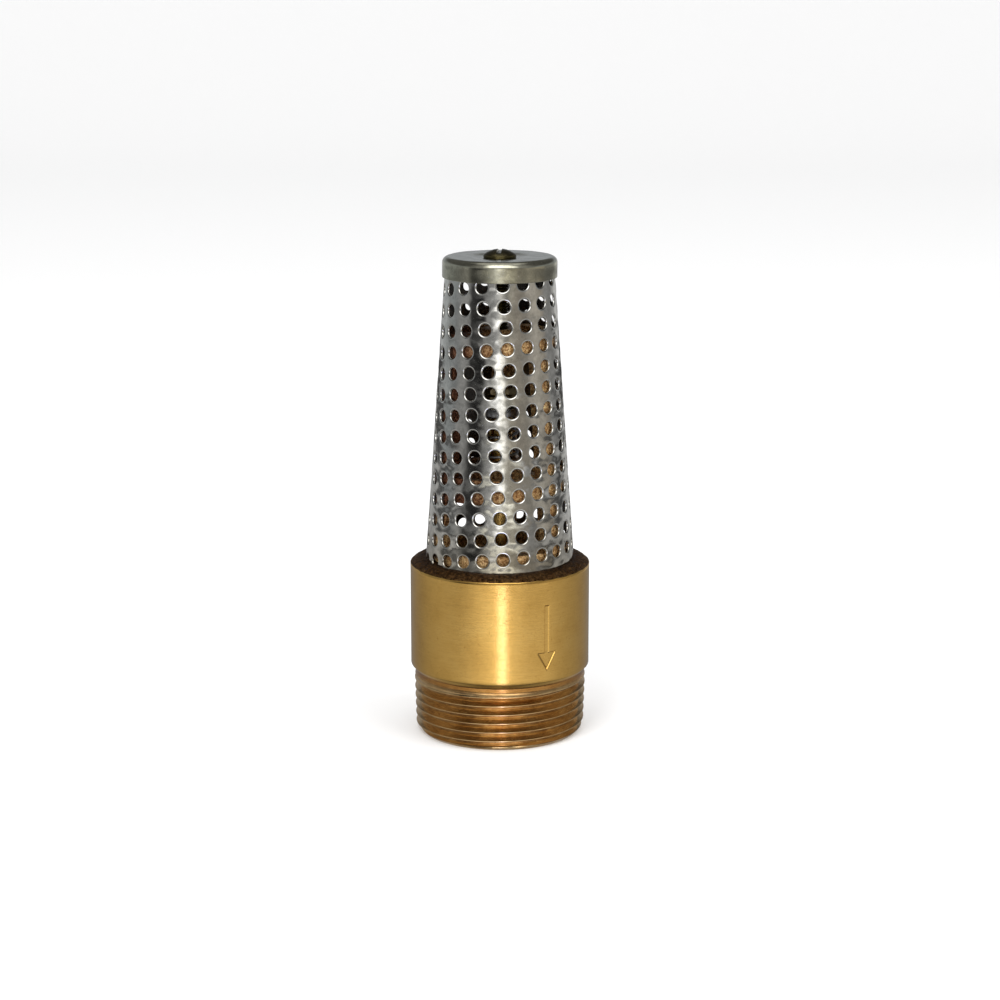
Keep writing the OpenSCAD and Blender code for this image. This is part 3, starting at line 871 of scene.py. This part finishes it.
def poppet_stem():
    """The stem between its collar and the spring's retainer, with a threaded stud at each end."""
    low, high = size("poppet_stem")
    collar_low = size("seal_retainer")[1].z
    spring_top = size("spring_retainer")[1].z - 1
    collar = high.x
    shaft = lathe(rounded([(0, collar_low - 0.01), (collar, collar_low), (collar, collar_low + 2),
                           (3, collar_low + 3), (3, spring_top - 0.3), (2.7, spring_top),
                           (0, spring_top)], 0.25), 96)
    lower = stud(STUD_R, low.z, collar_low + 0.05, *STUD_THREAD)
    upper = stud(STUD_R, spring_top - 0.05, high.z, *STUD_THREAD)
    points, faces = joined(shaft, lower, upper)
    return add_piece("stem_turned", points, faces, "poppet", ["poppet_stem"],
                     [TURNED])


def seal_and_disc():
    """The rings stacked on the stem: seal, its retainer and disc, washer and spring seat."""
    low, high = size("seal_retainer")
    turned_piece("seal_retainer_ring", "seal_retainer", "poppet", TURNED,
                 [(STUD_R, low.z), (high.x, low.z), (high.x, high.z), (STUD_R, high.z)], 0.18)
    low, high = size("poppet_seal")
    turned_piece("seal_ring", "poppet_seal", "poppet", RUBBER,
                 [(STUD_R, low.z), (high.x, low.z), (high.x, high.z), (STUD_R, high.z)], 0.3)
    seal_r, seal_low = high.x, low.z
    low, high = size("poppet_disc")
    turned_piece("disc_turned", "poppet_disc", "poppet", TURNED,
                 [(STUD_R, low.z), (DISC_HUB_R, low.z), (high.x, low.z + 1.4), (high.x, high.z),
                  (seal_r, high.z), (seal_r, seal_low), (STUD_R, seal_low)], 0.25)
    low, high = size("poppet_washer")
    turned_piece("washer_flat", "poppet_washer", "poppet", PLAIN_STEEL,
                 [(STUD_R, low.z), (high.x, low.z), (high.x, high.z), (STUD_R, high.z)], 0.12)
    low, high = size("spring_retainer")
    wall, lip = 0.6, 0.9
    turned_piece("spring_seat", "spring_retainer", "poppet", PLAIN_STEEL,
                 [(STUD_R, low.z + lip), (high.x - wall, low.z + lip), (high.x - wall, low.z),
                  (high.x, low.z), (high.x, high.z), (STUD_R, high.z)], 0.2)


def stem_bush():
    """A flanged sleeve."""
    low, high = size("stem_bush")
    bore, sleeve, flange = 3.05, 4.1, 1
    return turned_piece("bush_sleeve", "stem_bush", "housing", BRONZE,
                        [(bore, low.z), (sleeve, low.z), (sleeve, high.z - flange),
                         (high.x, high.z - flange), (high.x, high.z), (bore, high.z)], 0.15)


def nut(name, node):
    """A hexagon nut with chamfered corners."""
    low, high = size(node)
    flat = high.y
    bore, cut = 2.5, 0.12

    def outline(azimuth):
        hexagon = flat / math.cos(math.radians((azimuth + 30) % 60 - 30))
        rows = [(bore, low.z), (flat - cut, low.z)]
        for share in (0, 0.04, 0.1, 0.18, 0.28, 0.5, 0.72, 0.82, 0.9, 0.96, 1):
            z = low.z + (high.z - low.z) * share
            taper = flat - cut + 1.75 * min(z - low.z, high.z - z)
            rows.append((min(hexagon, taper), z))
        return rows + [(flat - cut, high.z), (bore, high.z)]

    points, faces, _ = column_grid(even_azimuths(120), outline)
    return add_piece(name, points, faces, "poppet", [node], [NUT_BRASS_SHADED], sharp=25)


def closing_spring():
    """The wire swept round its coil, with closed ends."""
    low, high = size("closing_spring")
    wire = 0.4
    coil_r = high.x - wire
    closed, opened = 0.75, 4
    open_pitch = (high.z - low.z - 2 * wire * (1 + 2 * closed)) / opened
    turns = opened + 2 * closed
    steps, sides = 330, 14

    def height(turn):
        lift = 2 * wire * min(turn, closed) + open_pitch * min(max(turn - closed, 0), opened)
        return low.z + wire + lift + 2 * wire * max(turn - closed - opened, 0)

    points = []
    for i in range(steps + 1):
        turn = turns * i / steps
        centre_z = height(turn) * 0.5 + (height(turn - 0.03) + height(turn + 0.03)) * 0.25
        centre_z = min(max(centre_z, low.z + wire), high.z - wire)
        a = TAU * turn
        for k in range(sides):
            b = TAU * k / sides
            r = coil_r + wire * math.cos(b)
            points.append((r * math.cos(a), r * math.sin(a), centre_z + wire * math.sin(b)))
    faces = [(i * sides + k, i * sides + (k + 1) % sides, (i + 1) * sides + (k + 1) % sides,
              (i + 1) * sides + k) for i in range(steps) for k in range(sides)]
    faces += [tuple(range(sides)), tuple(steps * sides + k for k in range(sides))]
    piece = add_piece("spring_coil", points, faces, "housing", ["closing_spring"],
                      [WIRE], sharp=60)
    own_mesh(piece)
    return piece


valve_body()
strainer_screen()
guide_cage()
strainer_cap()
cap_screw()
poppet_stem()
seal_and_disc()
stem_bush()
nut("nut_lower", "poppet_nut")
nut("nut_upper", "retainer_nut")
nut("nut_lock", "jam_nut")
closing_spring()


# ---------------------------------------------------------------- stage

def floor():
    """A pale floor that curves up into a backdrop, far behind the valve."""
    profile = [(-3, 0), (1.6, 0)]
    profile += [(1.6 + math.sin(a), 1 - math.cos(a)) for a in np.linspace(0.1, math.pi / 2, 16)]
    profile.append((2.6, 4))
    points = [(x, y, z) for y, z in profile for x in (-4, 4)]
    faces = [(2 * k, 2 * k + 1, 2 * k + 3, 2 * k + 2) for k in range(len(profile) - 1)]
    mesh = bpy.data.meshes.new("floor")
    mesh.from_pydata(points, [], faces)
    mesh.shade_smooth()
    material, _, shader = new_material("floor_white", (0.96, 0.96, 0.96), 0.0, 0.8)
    shader.inputs["Specular IOR Level"].default_value = 0.1
    mesh.materials.append(material)
    piece = bpy.data.objects.new("floor", mesh)
    bpy.context.scene.collection.objects.link(piece)
    piece.visible_glossy = False
    return piece


def lamp(name, place, width, height, power):
    """A soft area lamp aimed at the valve, which its metal doesn't reflect."""
    light = bpy.data.lights.new(name, "AREA")
    light.shape = "RECTANGLE"
    light.size = width
    light.size_y = height
    light.energy = power
    piece = bpy.data.objects.new(name, light)
    bpy.context.scene.collection.objects.link(piece)
    piece.location = place
    piece.rotation_mode = "QUATERNION"
    piece.rotation_quaternion = (Vector(MIDDLE) - Vector(place)).to_track_quat("-Z", "Y")
    piece.visible_camera = False
    piece.visible_glossy = False
    return piece


def tent():
    """Softboxes and dark flags round the valve, seen only as reflections in its metal.
    Brightness depends on azimuth in degrees from the front, rising to the right."""
    down = [(-180, 0.42), (-120, 0.3), (-60, 0.10), (0, 0.25), (60, 0.10), (120, 0.3), (180, 0.42)]
    low = [(-180, 0.22), (-147, 0.26), (-122, 0.29), (-105, 0.36), (-90, 0.41), (-77, 0.46),
           (-66, 0.49), (-55, 0.53), (-44, 0.62), (-34, 0.76), (-24, 0.93), (-14, 1.06),
           (-6, 1.25), (-1, 1.6), (1, 2.0), (2.4, (5, 5.3, 9)), (3.8, (5, 5.3, 9)), (5.2, 2.0),
           (8, 1.3), (14, 0.96), (24, 0.88), (34, 0.75), (44, 0.70), (55, 0.68), (66, 0.62),
           (77, 0.51), (90, 0.43), (105, 0.37), (122, 0.32), (147, 0.27), (180, 0.22)]
    waist = [(-180, 0.5), (-147, 0.40), (-122, 0.45), (-105, 0.52), (-90, 0.55), (-77, 0.5),
             (-66, 0.35), (-50, 0.15), (0, 0.3), (50, 0.3), (66, 0.4), (77, 0.45), (90, 0.45),
             (105, 0.42), (122, 0.42), (147, 0.55), (180, 0.5)]
    skirt = [(-180, 0.05), (-147, 0.05), (-90, 0.06), (-50, 0.13), (-38, 0.33),
             (-24, (0.92, 0.9, 0.79)), (-12, (1.26, 1.22, 1.08)), (0, (1.55, 1.5, 1.32)),
             (10, (1.42, 1.38, 1.22)), (24, (1.15, 1.12, 0.98)), (38, 0.52), (55, 0.18),
             (75, 0.06), (105, 0.05), (180, 0.05)]
    sides = [(-180, 0.5), (-147, (0.44, 0.46, 0.47)), (-122, (0.36, 0.38, 0.39)),
             (-105, (0.28, 0.30, 0.31)), (-90, (0.25, 0.26, 0.27)), (-77, 0.30), (-68, 0.30),
             (-62, 0.18), (-57, 0.04)]
    right = [(34, (0.31, 0.28, 0.24)), (50, (0.27, 0.25, 0.22)), (60, (0.42, 0.39, 0.35)),
             (75, (0.46, 0.43, 0.38)), (90, (0.34, 0.31, 0.27)), (105, 0.27), (122, 0.25),
             (147, 0.6), (180, 0.5)]
    level = sides + [(-40, 0.01), (-33, 0.03), (-26, 0.24), (-18, 0.46), (-10, 1.1), (-4, 1.95),
                     (5, (1.55, 1.52, 1.45)), (10, (0.68, 0.65, 0.59)), (16, (0.43, 0.40, 0.34)),
                     (24, (0.34, 0.31, 0.26))] + right
    lower = sides + [(-44, 0.03), (-36, 0.08), (-26, 0.17), (-18, 0.25), (-10, 0.38), (-4, 0.58),
                     (5, (0.60, 0.58, 0.52)), (10, (0.44, 0.41, 0.35)), (16, (0.38, 0.35, 0.29)),
                     (24, (0.36, 0.33, 0.28))] + right
    upper = sides + [(-44, 0.07), (-36, 0.12), (-26, 0.30), (-18, 0.26), (-9, 0.3), (-3, 0.55),
                     (4, (0.8, 0.78, 0.72)), (10, (0.34, 0.33, 0.30)), (16, (0.26, 0.25, 0.22)),
                     (24, (0.44, 0.41, 0.35))] + right
    high = [(-180, (0.37, 0.39, 0.42)), (-90, (0.28, 0.3, 0.32)), (-50, 0.25), (-20, 0.35),
            (20, 0.35), (50, 0.25), (90, (0.28, 0.3, 0.32)), (180, (0.37, 0.39, 0.42))]
    key = [(-180, 0.12), (-75, 0.09), (-34, 0.35), (-18, 2.5), (24, 2.5), (40, 0.4), (80, 0.10),
           (130, 0.08), (180, 0.12)]
    top = [(-180, 0.6), (0, 0.7), (180, 0.6)]
    peak = 9.0
    material = bpy.data.materials.new("tent")
    material.use_nodes = True
    tree = material.node_tree
    tree.nodes.clear()
    glow = tree.nodes.new("ShaderNodeEmission")
    out = tree.nodes.new("ShaderNodeOutputMaterial")
    coord = tree.nodes.new("ShaderNodeTexCoord")
    parts = tree.nodes.new("ShaderNodeSeparateXYZ")
    tree.links.new(coord.outputs["Object"], parts.inputs["Vector"])
    turn = maths(tree, "ARCTAN2", parts.outputs["X"],
                 maths(tree, "MULTIPLY", parts.outputs["Y"], -1.0))
    share = maths(tree, "ADD", maths(tree, "DIVIDE", turn, TAU), 0.5)
    rise = maths(tree, "ARCSINE", parts.outputs["Z"])
    rise = maths(tree, "ADD", maths(tree, "DIVIDE", rise, math.pi), 0.5)

    def wall(stops):
        return ramp(tree, share, [((a + 180) / 360, np.multiply(value, 1 / peak) * np.ones(3))
                                  for a, value in stops])

    def above(colour, stops, start, end):
        return mix(tree, ramp(tree, rise, [((start + 90) / 180, 0), ((end + 90) / 180, 1)]),
                   colour, wall(stops))

    colour = above(wall(down), low, -40, -30)
    colour = above(colour, waist, -12.4, -11.4)
    colour = above(colour, skirt, -9.2, -8.2)
    colour = above(colour, lower, -6.8, -6.2)
    colour = above(colour, level, -5, -3.6)
    colour = above(colour, upper, -1.2, 0)
    colour = above(colour, high, 2.5, 4.5)
    colour = above(colour, key, 12, 22)
    colour = above(colour, top, 58, 70)
    tree.links.new(colour, glow.inputs["Color"])
    glow.inputs["Strength"].default_value = peak
    tree.links.new(glow.outputs["Emission"], out.inputs["Surface"])
    material.cycles.emission_sampling = "NONE"
    work = bmesh.new()
    bmesh.ops.create_uvsphere(work, u_segments=96, v_segments=48, radius=1)
    mesh = bpy.data.meshes.new("tent")
    work.to_mesh(mesh)
    work.free()
    mesh.materials.append(material)
    piece = bpy.data.objects.new("tent", mesh)
    bpy.context.scene.collection.objects.link(piece)
    piece.location = MIDDLE
    piece.scale = (2.5, 2.5, 2.5)
    for hidden in ("camera", "diffuse", "shadow", "transmission", "volume_scatter"):
        setattr(piece, "visible_" + hidden, False)
    return piece


MIDDLE = (0, 0, 0.06)
stage = [
    floor(),
    tent(),
    lamp("key", (-0.35, -0.7, 0.9), 0.5, 0.5, 5),
    lamp("fill", (0.7, -0.4, 0.7), 0.8, 0.8, 4),
]

world = bpy.data.worlds.new("studio")
world.use_nodes = True
world.node_tree.nodes["Background"].inputs["Color"].default_value = (1, 1, 1, 1)
world.node_tree.nodes["Background"].inputs["Strength"].default_value = 0.95
bpy.context.scene.world = world
bpy.context.scene.view_settings.view_transform = "Standard"

camera = bpy.data.cameras.new("camera")
camera.lens = 87.72
camera.sensor_width = 36
camera.shift_x = 0.00015
camera.shift_y = -0.0007
eye = bpy.data.objects.new("camera", camera)
eye.location = (0, -0.580, 0.1877)
eye.rotation_euler = (math.radians(90 - 12.63), 0, 0)
bpy.context.scene.collection.objects.link(eye)
bpy.context.scene.camera = eye
